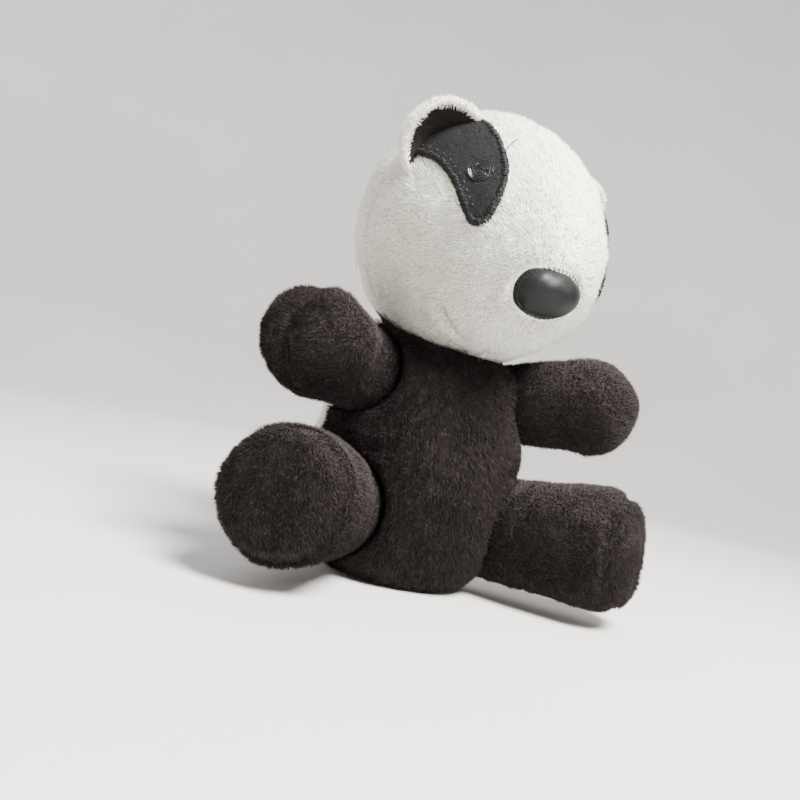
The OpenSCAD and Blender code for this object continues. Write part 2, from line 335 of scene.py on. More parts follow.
def raise_by(material, bsdf, value, height_mm, strength=0.6):
    node = material.node_tree.nodes.new("ShaderNodeBump")
    node.inputs["Strength"].default_value = strength
    node.inputs["Distance"].default_value = height_mm * MM
    material.node_tree.links.new(value, node.inputs["Height"])
    material.node_tree.links.new(node.outputs["Normal"], bsdf.inputs["Normal"])


def tones(colour, *factors):
    return [tuple(min(c * f, 1) for c in colour) for f in factors]


FABRIC_GLOSS = 0.15


def backing(name, colour):
    """The knitted base that shows between the fibres."""
    material, bsdf = shader(name, 0.95, FABRIC_GLOSS)
    dark, middle, light = tones(colour, 0.6, 0.9, 1.1)
    fine, broad = grain(material, 0.5), grain(material, 9, detail=2)
    links = material.node_tree.links
    links.new(ramp(material, fine, [(0.3, dark), (0.5, middle), (0.7, light)]), bsdf.inputs["Base Color"])
    links.new(remap(material, broad, 0.85, 1), bsdf.inputs["Roughness"])
    raise_by(material, bsdf, fine, 0.4)
    return material


def fibre(name, colour, sheen):
    """One shade of pile fibre."""
    material, bsdf = shader(name, 0.8, FABRIC_GLOSS, sheen_weight=sheen, sheen_roughness=0.45)
    bsdf.inputs["Base Color"].default_value = (*colour, 1)
    bsdf.inputs["Sheen Tint"].default_value = (*tones(colour, 1.6)[0], 1)
    rough = grain(material, 1.2, detail=2)
    material.node_tree.links.new(remap(material, rough, 0.6, 0.95), bsdf.inputs["Roughness"])
    return material


WHITE, BLACK = (0.89, 0.88, 0.79), (0.018, 0.0138, 0.0138)


def plush(name, colour, sheen, spread):
    """Backing and three shades of fibre."""
    shades = [fibre(f"{name}_fibre_{i}", tone, sheen) for i, tone in enumerate(tones(colour, *spread))]
    return backing(f"{name}_backing", tones(colour, 0.8)[0]), shades


white_plush = plush("white_plush", WHITE, 0.15, (1, 0.9, 1.1))
black_plush = plush("black_plush", BLACK, 0.3, (1, 0.6, 2.2))


def felt_material():
    material, bsdf = shader("felt", 0.95, FABRIC_GLOSS)
    fine, lint = grain(material, 0.35, detail=6), grain(material, 1.1, detail=3)
    links = material.node_tree.links
    tone = ramp(material, fine, [(0.3, (0.003, 0.003, 0.0035)), (0.55, (0.007, 0.0065, 0.0075)),
                                 (0.75, (0.018, 0.017, 0.018))])
    links.new(tone, bsdf.inputs["Base Color"])
    links.new(remap(material, lint, 0.8, 1), bsdf.inputs["Roughness"])
    raise_by(material, bsdf, fine, 0.25, 0.8)
    return material


def thread_material(name, colour):
    material, bsdf = shader(name, 0.55, 0.2)
    twist = grain(material, 0.3, detail=2)
    dark, light = tones(colour, 0.6, 1.4)
    material.node_tree.links.new(ramp(material, twist, [(0.35, dark), (0.65, light)]),
                                 bsdf.inputs["Base Color"])
    material.node_tree.links.new(remap(material, twist, 0.4, 0.65), bsdf.inputs["Roughness"])
    raise_by(material, bsdf, twist, 0.06)
    return material


def leatherette_material():
    material, bsdf = shader("nose_leatherette", 0.42, 0.16)
    cells = grain(material, 0.45, "ShaderNodeTexVoronoi")
    wear = grain(material, 3, detail=5)
    links = material.node_tree.links
    links.new(ramp(material, wear, [(0.3, (0.004, 0.0042, 0.0043)), (0.7, (0.01, 0.0106, 0.0108))]),
              bsdf.inputs["Base Color"])
    links.new(remap(material, wear, 0.36, 0.52), bsdf.inputs["Roughness"])
    raise_by(material, bsdf, cells, 0.05, 0.35)
    return material


def steel_material():
    material, bsdf = shader("ring_steel", 0.25, metallic=1.0)
    scratch = grain(material, 0.8, detail=8)
    links = material.node_tree.links
    links.new(ramp(material, scratch, [(0.35, (0.5, 0.5, 0.51)), (0.65, (0.72, 0.72, 0.73))]),
              bsdf.inputs["Base Color"])
    links.new(remap(material, scratch, 0.16, 0.36), bsdf.inputs["Roughness"])
    raise_by(material, bsdf, scratch, 0.02, 0.3)
    return material


felt, leatherette, steel = felt_material(), leatherette_material(), steel_material()
dark_thread = thread_material("dark_thread", (0.006, 0.006, 0.0065))
grey_thread = thread_material("grey_thread", (0.05, 0.052, 0.056))
# Pale thread of the mouth, also used for the painted highlight stitched onto the eyes
pale_thread = thread_material("pale_thread", (0.5, 0.46, 0.4))
tape_thread = thread_material("tape_thread", (0.035, 0.035, 0.04))
felt_fibre_dark = fibre("felt_fibre_dark", (0.006, 0.006, 0.007), 0.05)
felt_fibre_grey = fibre("felt_fibre_grey", (0.02, 0.019, 0.02), 0.05)
felt_fibre_pale = fibre("felt_fibre_pale", (0.07, 0.065, 0.06), 0.05)


def dress(piece, materials, slot, body, *nodes):
    """Gives a finished piece its materials, its body and the CAD nodes it stands for. The slot is not used.
    """
    for material in materials:
        piece.data.materials.append(material)
    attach(piece, body)
    if nodes:
        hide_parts(*nodes)


# ---- head ----

HEAD_SPIN = turn("Z", HEAD_TURN) @ turn("Y", HEAD_LEAN) @ turn("X", HEAD_NOD)
HEAD_AT = joint_at["head_turn"]
MUZZLE = MUZZLE_OUT * pointing(0, -MUZZLE_DROP)
MIRROR = np.diag([-1.0, 1.0, 1.0])


def head_radius(way):
    """How far the head's surface is from its centre, with the muzzle blended in."""
    along = way @ MUZZLE
    inside = along**2 - MUZZLE @ MUZZLE + MUZZLE_R**2
    muzzle = np.where(inside > 0, along + np.sqrt(np.maximum(inside, 0)), 0)
    return (HEAD_R + muzzle + np.sqrt((HEAD_R - muzzle) ** 2 + 1.5)) / 2


def on_head(azimuth, elevation, rise=0.0):
    way = pointing(azimuth, elevation)
    return way * (head_radius(way[None])[0] + rise)


def over_head(flat, spin, rise):
    """Points drawn square on to the face of a spin, laid on the head: flat is x and z in that spin."""
    flat = np.asarray(flat, float)
    up = np.full(len(flat), HEAD_R, float)
    for _ in range(4):
        local = np.stack([flat[:, 0], -np.sqrt(np.maximum(up**2 - (flat**2).sum(1), 0)), flat[:, 1]], 1)
        up = head_radius(unit(local @ spin.T))
    here = local @ spin.T
    return here + unit(here) * np.broadcast_to(rise, len(flat))[:, None]


# Lines on the face, as (azimuth, elevation)
MOUTH = [on_head(*d) for d in ((-30, -40), (-25, -43.5), (-18, -46.8), (-11, -48.5))]
SMILE = [on_head(*d) for d in ((-11, -48.5), (0, -50.5), (11, -48.5), (18, -46.8), (25, -43.5), (30, -40))]
CHIN_SEAM = [on_head(*d) for d in ((-17, -22), (-15, -35), (-11, -48))]
CHIN_FOLD = [on_head(*d) for d in ((10, -45), (9, -50), (6, -56))]


def head_dents(points):
    """How deep the seams, the mouth and the puckers draw the fabric in."""
    mouth, along = near(points, MOUTH)
    smile, _ = near(points, SMILE)
    chin, _ = near(points, CHIN_SEAM)
    fold, _ = near(points, CHIN_FOLD)
    seam = bump(points[:, 1], 0.8) * (0.75 + 0.2 * waves(points, 5, 8))
    return (1.9 * (1 - 0.7 * along) * bump(mouth, 1.0) + 0.35 * bump(smile, 1.2)
            + 0.3 * bump(chin, 0.9) + 0.5 * bump(fold, 0.9) + seam
            - 0.5 * bump(mouth - 2.2, 1.3) * (1 - along))


def head_points(ways):
    base = ways * head_radius(ways)[:, None]
    uneven = 0.28 * waves(base, 15, 3) + 0.12 * waves(base, 6, 4)
    return ways * (head_radius(ways) - PILE_DEPTH - head_dents(base) + uneven)[:, None]


def head_shell(name, away):
    steps = int(math.pi * HEAD_R / CELL)
    profile = [(math.sin(t), math.cos(t)) for t in np.linspace(0, math.pi, steps)]
    ways, faces = lathe(profile, 2 * steps)
    piece = mesh_piece(name, head_points(unit(ways @ turn("X", 90).T)), [f[::-1] for f in faces])
    return cut(piece, (0, 0, 0), (0, away, 0))


PATCH_POINTS = [(-12.6, 0.6), (-8, 0.4), (-3, -0.5), (1.5, -2.9), (5.4, -6.2), (9, -8.8), (11.4, -7.5),
                (11.7, -4.2), (10.6, 0.6), (8.2, 4.9), (3.6, 9.6), (-1.5, 12.5), (-6, 12.5), (-11, 6)]


def smooth_loop(corners, each):
    """A closed curve through the corners, with a number of points to each."""
    p = np.asarray(corners, float)
    before, after, beyond = np.roll(p, 1, 0), np.roll(p, -1, 0), np.roll(p, -2, 0)
    t = (np.arange(each) / each)[None, :, None]
    p, before, after, beyond = (x[:, None] for x in (p, before, after, beyond))
    return (0.5 * (2 * p + (after - before) * t + (2 * before - 5 * p + 4 * after - beyond) * t * t
                   + (3 * p - before - 3 * after + beyond) * t**3)).reshape(-1, 2)


PATCH_LOOP = smooth_loop(PATCH_POINTS, 8)
PATCH_SPIN = aim(*PATCH_DIR)


def in_patch(points, shrink=0.0):
    """Which points of the right half of the head lie under the patch."""
    local = points @ PATCH_SPIN
    x, z = local[:, 0], local[:, 2]
    loop = inset(PATCH_LOOP, shrink)
    inside = np.zeros(len(points), bool)
    for (x0, z0), (x1, z1) in zip(loop, np.roll(loop, -1, 0)):
        if z0 != z1:
            inside ^= ((z0 > z) != (z1 > z)) & (x < (x1 - x0) * (z - z0) / (z1 - z0) + x0)
    return inside & (local[:, 1] < 0)


def inset(loop, distance):
    """The loop moved inwards by a distance, point by point."""
    along = unit(np.roll(loop, -1, 0) - np.roll(loop, 1, 0))
    return loop + np.stack([-along[:, 1], along[:, 0]], 1) * np.asarray(distance).reshape(-1, 1)


NOSE_SPIN = aim(0, -NOSE_DROP) @ turn("Y", -NOSE_TILT)
NOSE_AT = NOSE_OUT * pointing(0, -NOSE_DROP)


def in_nose(points, grow=0.0):
    local = (points - NOSE_AT) @ NOSE_SPIN
    size = np.array([NOSE_W, NOSE_H, NOSE_H]) + grow
    return ((local / size) ** 2).sum(1) < 1


def face_keep(points):
    mirrored = (points * [-1, 1, 1]) @ turn("Z", -PATCH_UNEVEN)
    return ~(in_patch(points, 0.35) | in_patch(mirrored, 0.35) | in_nose(points, 0.55))


def head_nap(points):
    """The pile leans from the nose back over the head, and down."""
    return unit(points - NOSE_AT) + np.array([0, 0.3, -0.35])


def make_head():
    backing_material, shades = white_plush
    for half, away, keep, seed in (("face", 1, face_keep, 11), ("back", -1, None, 12)):
        skin = head_shell(f"head_{half}_skin", away)
        fur = pile(f"head_{half}_pile", skin, *HEAD_PILE, head_nap, keep, seed)
        for piece in (skin, fur):
            place(piece, HEAD_SPIN, HEAD_AT)
        nodes = ["head_face_panel", "head_stuffing"] if half == "face" else ["head_back_panel"]
        dress(skin, [backing_material], "white_plush", "head", *nodes)
        dress(fur, shades, "white_plush", "head")


def patch_mesh(name, spin):
    """Felt patch as a closed sheet that follows the head and turns down at its edge."""
    centre = np.array([1.0, 2.0])
    top, under = 0.4, -0.9
    rows = [(s, top) for s in np.linspace(0.04, 0.88, 22)]
    rows += [(0.9, 0.22), (0.915, 0.12), (0.93, 0.22), (0.95, top)]  # the groove of the edge stitches
    rows += [(0.975, 0.38), (0.995, 0.1), (0.99, under), (0.5, under)]
    points = [over_head([centre], spin, top)]
    for scale, rise in rows:
        points.append(over_head(centre + (PATCH_LOOP - centre) * scale, spin, rise))
    points.append(over_head([centre], spin, under))
    points = np.concatenate(points)
    points += unit(points) * (0.05 * waves(points, 1.1, 21) + 0.06 * waves(points, 4, 22))[:, None]
    piece = mesh_piece(name, points, ball_faces(len(rows), len(PATCH_LOOP)))
    face_outwards(piece)
    return piece


def edge_stitches(rng, spin):
    """Overlock stitches across the patch's edge, a little uneven."""
    loop = smooth_loop(PATCH_POINTS, 28)
    step = np.linalg.norm(np.diff(loop, axis=0, append=loop[:1]), axis=1)
    run, spacing, paths, last = 0.0, 0.3, [], -1
    for i, length in enumerate(step):
        run += length
        if int(run / spacing) > last:
            last = int(run / spacing)
            skew = rng.normal() * 0.12
            reach = 1.1 + rng.normal() * 0.12
            across = inset(loop, 0)[i] + np.outer([-0.15, 0.05, reach * 0.5, reach, reach + 0.1],
                                                  inset(loop, 1)[i] - loop[i])
            across[:, 0] += skew * np.linspace(-1, 1, 5)
            rise = np.array([-0.35, 0.25, 0.5, 0.3, -0.1]) + rng.normal() * 0.06
            paths.append(over_head(across, spin, rise))
    return paths


def running_stitches(spin):
    """A row of short straight stitches along the patch's lower edge."""
    loop = inset(smooth_loop(PATCH_POINTS, 12), 1.9)
    row = loop[6:56]
    return [over_head(row[i : i + 3], spin, [0.1, 0.48, 0.1]) for i in range(0, len(row) - 3, 4)]


def eye_threads(rng, spin):
    """Wound rings of the embroidered eye, and pale stitches that paint a highlight on it: a crescent at its
    light side and specks across it.
    """
    dark, pale = [], []
    for r in np.arange(EYE_R, 0.2, -0.27):
        a = np.linspace(0, 2 * np.pi, max(int(r * 12), 8))
        wobble = r + 0.05 * np.sin(a * 5 + r * 9)
        flat = np.stack([wobble * np.cos(a), wobble * np.sin(a)], 1)
        dark.append(over_head(flat, spin, 0.5 + 0.03 * rng.normal(size=len(a))))
    # Painted highlight: pale arcs laid in a crescent at one side of the eye
    for r, start, end in ((2.0, 180, 262), (1.7, 196, 248)):
        a = np.radians(np.linspace(start, end, 9))
        pale.append(over_head(np.stack([r * np.cos(a), r * np.sin(a)], 1), spin,
                              0.72 * np.sin(np.linspace(0.5, 2.64, 9))))
    # Painted highlight: short pale stitches as specks of light over the eye
    for _ in range(6):
        a, r = rng.uniform(0, 2 * np.pi), rng.uniform(0.4, 2.1)
        start = np.array([r * math.cos(a), r * math.sin(a)])
        flat = start + np.outer([0, 0.5, 1], rng.normal(size=2) * 0.28)
        pale.append(over_head(flat, spin, [0.45, 0.62, 0.4]))
    return dark, pale


def make_patches():
    for side, sign in SIDES.items():
        rng = np.random.default_rng(31 + sign)
        spin = HEAD_SPIN @ (MIRROR if sign > 0 else np.eye(3))
        uneven = turn("Z", -PATCH_UNEVEN if sign > 0 else 0)
        felt_spin, eye_spin = uneven @ PATCH_SPIN, uneven @ aim(*EYE_DIR)
        sheet = patch_mesh(f"{side}_patch_felt", felt_spin)
        lint = pile(f"{side}_patch_lint", sheet, *FELT_LINT, lambda p: np.cross(p, [1, 2, 3]),
                    lambda p: np.linalg.norm(p, axis=1) > head_radius(unit(p)) + 0.15, 41, 2.2, 1.6)
        edge = threads(f"{side}_patch_edge", edge_stitches(rng, felt_spin), 0.16)
        row = threads(f"{side}_patch_stitches", running_stitches(felt_spin), 0.13)
        dark, pale = eye_threads(rng, eye_spin)
        eye = threads(f"{side}_eye_rings", dark, 0.14)
        # The painted highlight of the eye, made of pale thread
        painted_glint = threads(f"{side}_eye_glint", pale, 0.07)
        for piece in (sheet, lint, edge, row, eye, painted_glint):
            place(piece, spin, HEAD_AT)
        dress(sheet, [felt], "black_felt", "head", f"{side}_eye_patch")
        dress(lint, [felt_fibre_dark, felt_fibre_grey, felt_fibre_pale], "black_felt", "head")
        dress(edge, [dark_thread], "dark_thread", "head")
        dress(row, [grey_thread], "dark_thread", "head")
        dress(eye, [dark_thread], "dark_thread", "head", f"{side}_eye_embroidery")
        dress(painted_glint, [pale_thread], "pale_thread", "head")


def make_nose():
    """A padded leatherette cap, drawn into small pleats where it is sewn to the muzzle."""
    ways, faces = lathe([(math.sin(t), math.cos(t)) for t in np.linspace(0, math.pi, 90)], 180)
    ways = unit(ways @ turn("X", 90).T)
    x, out, z = ways[:, 0], -ways[:, 1], ways[:, 2]
    size = np.array([NOSE_W, NOSE_H, NOSE_H])
    body = ways * size
    body[:, 2] *= 1 - 0.10 * x
    body[:, 2] -= 0.35 * bump(x, 0.6) * np.clip(z, 0, 1)
    around = np.arctan2(z, x)
    pleat = bump(out - 0.25, 0.2) * (0.5 - 0.5 * np.sin(around - 0.6))
    body *= (1 - 0.03 * pleat * (0.5 + 0.5 * np.sin(around * 27)) - 0.05 * bump(out - 0.1, 0.1))[:, None]
    body += ways * (0.06 * waves(body, 3.5, 51))[:, None]
    cap = mesh_piece("nose_cap", body @ NOSE_SPIN.T + NOSE_AT, [f[::-1] for f in faces])
    stitches = []
    for a in np.radians(np.arange(0, 360, 360 / 44)):
        ring = np.array([math.cos(a) * NOSE_W, 0, math.sin(a) * NOSE_H])
        ends = []
        for share, depth in ((0.92, -2.6), (0.97, -1.9), (1.01, -1.7), (1.05, -2.2)):
            ends.append(ring * share + [0, depth, 0])
        here = np.array(ends) @ NOSE_SPIN.T + NOSE_AT
        reach = head_radius(unit(here)) + np.array([0.25, 0.35, 0.15, -0.4])
        stitches.append(unit(here) * reach[:, None])
    sewn = threads("nose_stitches", stitches, 0.13)
    for piece in (cap, sewn):
        place(piece, HEAD_SPIN, HEAD_AT)
    dress(cap, [leatherette], "nose_leather", "head", "nose_cover", "nose_stuffing")
    dress(sewn, [dark_thread], "dark_thread", "head")


def make_mouth():
    """The thread that draws the mouth in, deep in its fold, and a stray end over the eye patch."""
    line = [on_head(*at) for at in ((-30, -40, -2.3), (-27.5, -41.8, -2.1), (-25, -43.5, -1.9),
                                    (-21.5, -45.2, -1.7), (-18, -46.8, -1.6))]
    other = [p * [-1, 1, 1] for p in line]
    mouth = threads("mouth_thread", [line, other], 0.2, 8)
    lash = [on_head(-38, 31.5, 0.2), on_head(-37.6, 34, 0.8), on_head(-36.6, 37, 1.0), on_head(-35, 40, 1.2)]
    strays = threads("stray_threads", [lash], 0.1)
    for piece in (mouth, strays):
        place(piece, HEAD_SPIN, HEAD_AT)
    dress(mouth, [pale_thread], "pale_thread", "head", "mouth_stitching")
    dress(strays, [dark_thread], "dark_thread", "head")


# ---- ears ----


EAR_AT = np.array([0, EAR_BACK - EAR_CUP_R, HEAD_R - EAR_SUNK])
EAR_DEEP = 2.5  # how far an ear's skins reach into the head


def cup(name, rows, around=96):
    """Closed cupped disc: rows of (radius of the cup, distance from the ear's middle)."""
    profile = [(reach, math.sqrt(max(r * r - reach * reach, 0))) for r, reach in rows]
    points, faces = lathe(evenly(profile, 0.35), around)
    points = points @ turn("X", -90).T + EAR_AT
    points += unit(points) * (0.15 * waves(points, 6, 61))[:, None]
    piece = mesh_piece(name, points, faces)
    face_outwards(piece)
    return cut(piece, (0, 0, HEAD_R - EAR_DEEP), (0, 0, -1))


def make_ears():
    outer_r = EAR_CUP_R - 0.5
    rim = EAR_R - 0.6
    outer_rows = [(outer_r, 0), (outer_r, 3), (outer_r, rim - 1), (outer_r - 0.15, rim - 0.3)]
    outer_rows += [(outer_r - 0.8, rim), (outer_r - 1.4, rim - 0.3), (outer_r - 1.7, rim - 0.8),
                   (outer_r - 1.6, rim - 1.3), (outer_r - 1.1, rim - 1.7), (outer_r - 1.1, 0)]
    inner_r = EAR_CUP_R - 2.2
    lining_rows = [(inner_r + 0.5, 0), (inner_r + 0.5, rim - 1.3), (inner_r + 0.2, rim - 0.9),
                   (inner_r, rim - 1.3), (inner_r, 0)]

    def out_of_lining(points):
        local = points - EAR_AT
        deep = np.linalg.norm(local, axis=1)
        return (deep > outer_r - 1) | (np.hypot(local[:, 0], local[:, 2]) > rim - 1.1)

    def in_front(points):
        return np.linalg.norm(points - EAR_AT, axis=1) < inner_r + 0.3

    for side, sign in SIDES.items():
        azimuth, elevation = EAR_DIR[side]
        spin = turn("Z", azimuth - 90) @ turn("Y", 90 - elevation) @ turn("Z", EAR_TWIST)
        spin = HEAD_SPIN @ (MIRROR if sign < 0 else np.eye(3)) @ spin
        outer, lining = cup(f"{side}_ear_skin", outer_rows), cup(f"{side}_ear_lining_skin", lining_rows)
        fur = pile(f"{side}_ear_pile", outer, *EAR_PILE, lambda p: np.array([0, 0.5, 1]) + 0 * p,
                   out_of_lining, 71, 0.6)
        dark = pile(f"{side}_ear_lining_pile", lining, *LINING_PILE, lambda p: np.array([0, 0, 1]) + 0 * p,
                    in_front, 72, 0.9)
        pieces = [outer, lining, fur, dark]
        if sign < 0:
            tail = threads("ear_thread_end", [[(-1.5, -2.2, 29), (-1, -2.9, 30.2), (-1.2, -3.4, 31.8),
                                               (-0.8, -3.6, 33)]], 0.1)
            pieces.append(tail)
        for piece in pieces:
            place(piece, spin, HEAD_AT)
        body = f"{side}_ear"
        dress(outer, [white_plush[0]], "white_plush", body, f"{side}_ear_outer")
        dress(lining, [black_plush[0]], "black_plush", body, f"{side}_ear_lining")
        dress(fur, white_plush[1], "white_plush", body)
        dress(dark, black_plush[1], "black_plush", body)
        if sign < 0:
            dress(tail, [dark_thread], "dark_thread", body)


# ---- body ----


def body_radius(z):
    narrowed = (1 - (SEAT_R / BELLY_R) ** 2) * ((BELLY_Z - z) / BELLY_Z) ** 2
    low = BELLY_R * np.sqrt(np.maximum(1 - narrowed, 0))
    ease = (1 + np.cos(np.pi * (z - BELLY_Z) / (BODY_H - BELLY_Z))) / 2
    high = NECK_R + (BELLY_R - NECK_R) * np.clip(ease, 0, 1) ** 0.8
    return np.where(z < BELLY_Z, low, high)


def in_limbs(points):
    """How deep points lie in the room that the limbs need over their travel, in millimetres."""
    deep = np.full(len(points), -1e9)
    for side, sign in SIDES.items():
        for limb, root, end, reach, spread, lift, travel in (
                ("arm", ARM_ROOT_R, PAW_R, ARM_L, ARM_SPREAD, ARM_LIFT, ARM_TRAVEL),
                ("leg", LEG_ROOT_R, FOOT_R, LEG_L - FOOT_CAP, LEG_SPREAD, LEG_LIFT[side], LEG_TRAVEL)):
            local = points - joint_at[f"{side}_{limb}_swing"]
            for swing in np.linspace(*travel, 5):
                way = pointing(sign * (spread + swing), lift)
                along = np.clip(local @ way, 0, 0.8 * reach)
                away = np.linalg.norm(local - along[:, None] * way, axis=1)
                deep = np.maximum(deep, root + (end - root) * along / reach + ROOT_GAP - 0.4 - away)
    return deep


def with_sockets(points):
    """Presses the body in where the head, the muzzle and the limbs sit or swing."""
    flat = points[:, :2]
    r = np.linalg.norm(flat, axis=1)
    way = flat / np.maximum(r, 1e-6)[:, None]

    def at(radius):
        return np.concatenate([way * radius[:, None], points[:, 2:]], 1)

    low, high = r.copy(), r.copy()
    step = 0.35
    for _ in range(44):
        inside = (in_limbs(at(low)) > 0) & (low > 1)
        high[inside] = low[inside]
        low[inside] -= step
    for _ in range(6):
        middle = (low + high) / 2
        inside = in_limbs(at(middle)) > 0
        high, low = np.where(inside, middle, high), np.where(inside, low, middle)
    points = at(low)
    space = np.minimum(np.linalg.norm(points - HEAD_AT, axis=1) - HEAD_R - NECK_GAP,
                       np.linalg.norm(points - muzzle_near(points), axis=1) - MUZZLE_R - NECK_GAP)
    tuck = 2.6 * bump(np.maximum(space, 0), 2.4) + 0.6 * np.maximum(-space, 0)
    tuck = np.where(points[:, 2] > BELLY_Z, tuck, 0)
    points = at(np.maximum(low - tuck, 0.5))
    for _ in range(3):
        for centre, size in ((HEAD_AT, HEAD_R + NECK_GAP - 0.4), (muzzle_near(points), MUZZLE_R + 0.3)):
            apart = points - centre
            distance = np.linalg.norm(apart, axis=1)
            close = (distance < size) & (points[:, 2] > BELLY_Z)
            points[close] += (apart * (size / np.maximum(distance, 1e-6) - 1)[:, None])[close]
    return points


def muzzle_near(points):
    """The nearest place that the muzzle's centre takes as the head turns."""
    fall = math.radians(MUZZLE_DROP + HEAD_NOD)
    azimuth = np.degrees(np.arctan2(points[:, 0] - HEAD_AT[0], HEAD_AT[1] - points[:, 1]))
    azimuth = np.radians(np.clip(azimuth, HEAD_TURN + HEAD_TRAVEL[0], HEAD_TURN + HEAD_TRAVEL[1]))
    way = np.stack([np.sin(azimuth), -np.cos(azimuth), 0 * azimuth], 1) * math.cos(fall)
    return HEAD_AT + MUZZLE_OUT * (way - [0, 0, math.sin(fall)])


HIP_FOLDS = [[(13, -16, 26), (16, -14, 25), (20, -8, 26), (21, -2, 28)],
             [(-13, -16, 26), (-16, -14, 25), (-20, -8, 26), (-21, -2, 28)]]


def body_dents(points):
    seam = bump(points[:, 1] - BODY_SEAM_Y, 0.9) * (0.9 + 0.3 * waves(points, 6, 81))
    folds = sum(0.9 * bump(near(points, fold)[0], 1.6) for fold in HIP_FOLDS)
    return seam + folds


def body_shell(name, away):
    heights = np.linspace(0, BODY_H, int(BODY_H / CELL * 1.3))
    profile = [(0, 0), *[(s * SEAT_R, 0) for s in np.linspace(0.1, 0.95, 18)],
               *zip(body_radius(heights), heights),
               *[(s * NECK_R, BODY_H) for s in np.linspace(0.95, 0.1, 18)], (0, BODY_H)]
    profile = evenly(profile)
    points, faces = lathe(profile, 240)
    side = unit(points * [1, 1, 0])
    low = bump(points[:, 2], 3)
    uneven = 0.55 * waves(points, 17, 82) + 0.15 * waves(points, 6, 83)
    points = points + side * (uneven * (1 - low) - PILE_DEPTH - body_dents(points))[:, None]
    points[:, 2] = np.maximum(points[:, 2], PILE_DEPTH * (1 - 0.2 * waves(points, 4, 84)))
    piece = mesh_piece(name, with_sockets(points), faces)
    return cut(piece, (0, BODY_SEAM_Y, 0), (0, away, 0))


def bare_of(points, centre, radius):
    return np.linalg.norm(points - centre, axis=1) > radius


def body_keep(points):
    """Pile grows only where the body isn't hidden by the head or a limb's root."""
    open_ = bare_of(points, HEAD_AT, HEAD_R + NECK_GAP)
    open_ &= bare_of(points, muzzle_near(points), MUZZLE_R + 0.6)
    for side in SIDES:
        open_ &= bare_of(points, joint_at[f"{side}_arm_swing"], ARM_ROOT_R + ROOT_GAP)
        open_ &= bare_of(points, joint_at[f"{side}_leg_swing"], LEG_ROOT_R + ROOT_GAP)
    return open_


def down_nap(points):
    return np.array([0, 0, -1.0]) + 0.35 * np.stack([waves(points, 12, 91), waves(points, 12, 92),
                                                     0 * points[:, 0]], 1)


def make_body():
    for half, away, plush_kind, slot in (("front", 1, black_plush, "black_plush"),
                                         ("back", -1, white_plush, "white_plush")):
        skin = body_shell(f"body_{half}_skin", away)
        fur = pile(f"body_{half}_pile", skin, *BODY_PILE, down_nap, body_keep, 93 + away)
        lift_off_floor(fur)
        for piece in (skin, fur):
            place(piece, np.eye(3), (0, 0, 0))
        nodes = ["body_front_panel", "body_stuffing"] if half == "front" else ["body_back_panel"]
        dress(skin, [plush_kind[0]], slot, "body", *nodes)
        dress(fur, plush_kind[1], slot, "body")


def lift_off_floor(piece, lowest=0.05):
    """Fibres under the seat are pressed flat on what the toy sits on."""
    co = np.empty(len(piece.data.vertices) * 3)
    piece.data.vertices.foreach_get("co", co)
    co[2::3] = np.maximum(co[2::3], lowest)
    piece.data.vertices.foreach_set("co", co)


# ---- limbs ----


def limb_profile(root_r, end_r, length):
    touch = math.acos((root_r - end_r) / length)
    return [(root_r * math.sin(a), root_r * math.cos(a)) for a in np.linspace(math.pi, touch, 30)]


def limb_nap(points):
    return np.array([0, -1.0, 0]) + 0.35 * np.stack([waves(points, 9, 95), 0 * points[:, 0],
                                                     waves(points, 9, 96) - 0.6], 1)


def away_from_root(reach):
    """Leaves out the part of a limb's root that stays inside the body."""
    return lambda points: points[:, 1] < reach


def make_arms():
    root, paw = ARM_ROOT_R - PILE_DEPTH, PAW_R - PILE_DEPTH
    touch = math.acos((root - paw) / ARM_L)
    profile = limb_profile(root, paw, ARM_L)
    profile += [(paw * math.sin(a), ARM_L + paw * math.cos(a)) for a in np.linspace(touch, 0, 40)]
    profile[0], profile[-1] = (0, -root), (0, ARM_L + paw)
    around = 160
    base, faces = lathe(evenly(profile), around)
    base = base @ turn("X", 90).T
    for side, sign in SIDES.items():
        points = base.copy()
        out = np.where(points[:, 1:2] < -ARM_L, unit(points + [0, ARM_L, 0]), unit(points * [1, 0, 1]))
        end = np.clip(-points[:, 1] / ARM_L, 0, 1)
        seam = bump(points[:, 0] - 0.25 * waves(points, 9, 101), 1.1) * (0.35 + 0.75 * end**2)
        fold = bump(points[:, 0], 4.5) * np.clip((-points[:, 1] - ARM_L) / PAW_R, 0, 1) * 0.9
        uneven = (0.5 * waves(points, 12, 102 + sign) + 0.15 * waves(points, 5, 104)) * end
        points = points + out * (uneven - seam - fold)[:, None]
        spin = aim(sign * ARM_SPREAD, ARM_LIFT)
        at = joint_at[f"{side}_arm_swing"]
        for half, away in (("front", sign), ("back", -sign)):
            skin = mesh_piece(f"{side}_arm_{half}_skin", points, faces)
            cut(skin, (0, 0, 0), (away, 0, 0))
            fur = pile(f"{side}_arm_{half}_pile", skin, *LIMB_PILE, limb_nap, away_from_root(3.5),
                       105 + away)
            for piece in (skin, fur):
                place(piece, spin, at)
            nodes = [f"{side}_arm_{half}_panel"] + ([f"{side}_arm_stuffing"] if half == "front" else [])
            dress(skin, [black_plush[0]], "black_plush", f"{side}_arm", *nodes)
            dress(fur, black_plush[1], "black_plush", f"{side}_arm")


def split_rings(points, faces, around, ring):
    """The two closed parts of a lathed surface on either side of one of its rings."""
    first = 1 + ring * around
    centre = points[first : first + around].mean(0)
    tube_faces = [f for f in faces if max(f) < first + around]
    tube_points = np.concatenate([points[: first + around], [centre]])
    tube_faces.append(tuple(first + j for j in range(around)))
    cap_faces = [tuple(i - first for i in f) for f in faces if min(f) >= first]
    cap_faces.append(tuple(reversed(range(around))))
    return (tube_points[:-1], tube_faces), (points[first:], cap_faces)


def sole_nap(points):
    return np.array([0.5, 0, -1.0]) + 0.5 * np.stack([waves(points, 7, 111), 0 * points[:, 0],
                                                      waves(points, 7, 112)], 1)


